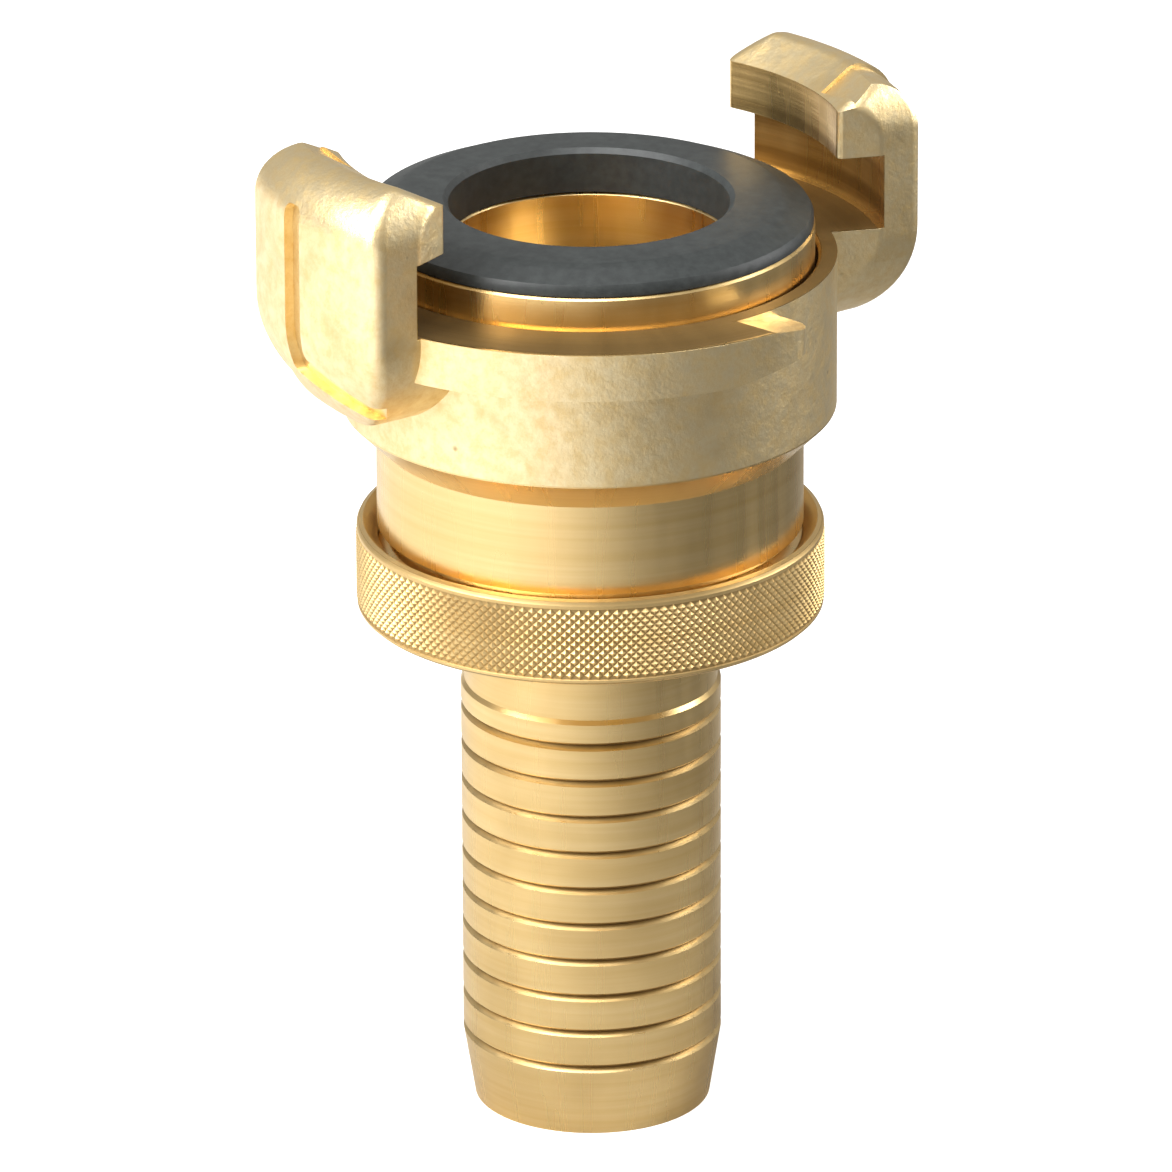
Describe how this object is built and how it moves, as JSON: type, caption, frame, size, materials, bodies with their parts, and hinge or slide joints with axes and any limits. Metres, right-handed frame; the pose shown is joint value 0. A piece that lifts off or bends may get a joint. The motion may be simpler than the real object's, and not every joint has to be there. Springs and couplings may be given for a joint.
{
  "type": "quarter turn hose coupling",
  "caption": "Brass claw coupling that joins to its twin with a quarter turn, with a rubber face seal, a swivelling ribbed hose tail and a knurled clamping nut.",
  "frame": {"origin": "on the axis, at the free end of the hose tail, where the coupling stands", "axes": "+Z along the axis towards the claws, X through the middle of the two claws"},
  "size_m": [0.0546, 0.047, 0.0835],
  "materials": {
    "forged_brass": "matte forged, with turned faces",
    "turned_brass": "fine turned",
    "knurled_brass": "fine diamond knurl",
    "black_rubber": "matte moulded",
    "slip_plastic": "plain"
  },
  "bodies": {
    "claw_body": {"claw_body": "forged_brass"},
    "slip_ring": {"slip_ring": "slip_plastic"},
    "knurled_nut": {"knurled_nut": "knurled_brass"},
    "hose_tail": {"hose_tail": "turned_brass", "seal_ring": "black_rubber"}
  },
  "joints": [
    {"name": "lift", "type": "slide", "parent": "claw_body", "child": "slip_ring", "axis": [0, 0, 1], "range_m": [-0.0026, 0]},
    {"name": "nut_turn", "type": "hinge", "parent": "slip_ring", "child": "knurled_nut", "pos_m": [0, 0, 0.046], "axis": [0, 0, 1], "range_deg": [-624, 0]},
    {"name": "tail_swivel", "type": "hinge", "parent": "slip_ring", "child": "hose_tail", "pos_m": [0, 0, 0.046], "axis": [0, 0, 1], "continuous": true}
  ],
  "couplings": [
    {"joint": "nut_turn", "follows": "lift", "rad_per_m": 4188.8}
  ]
}
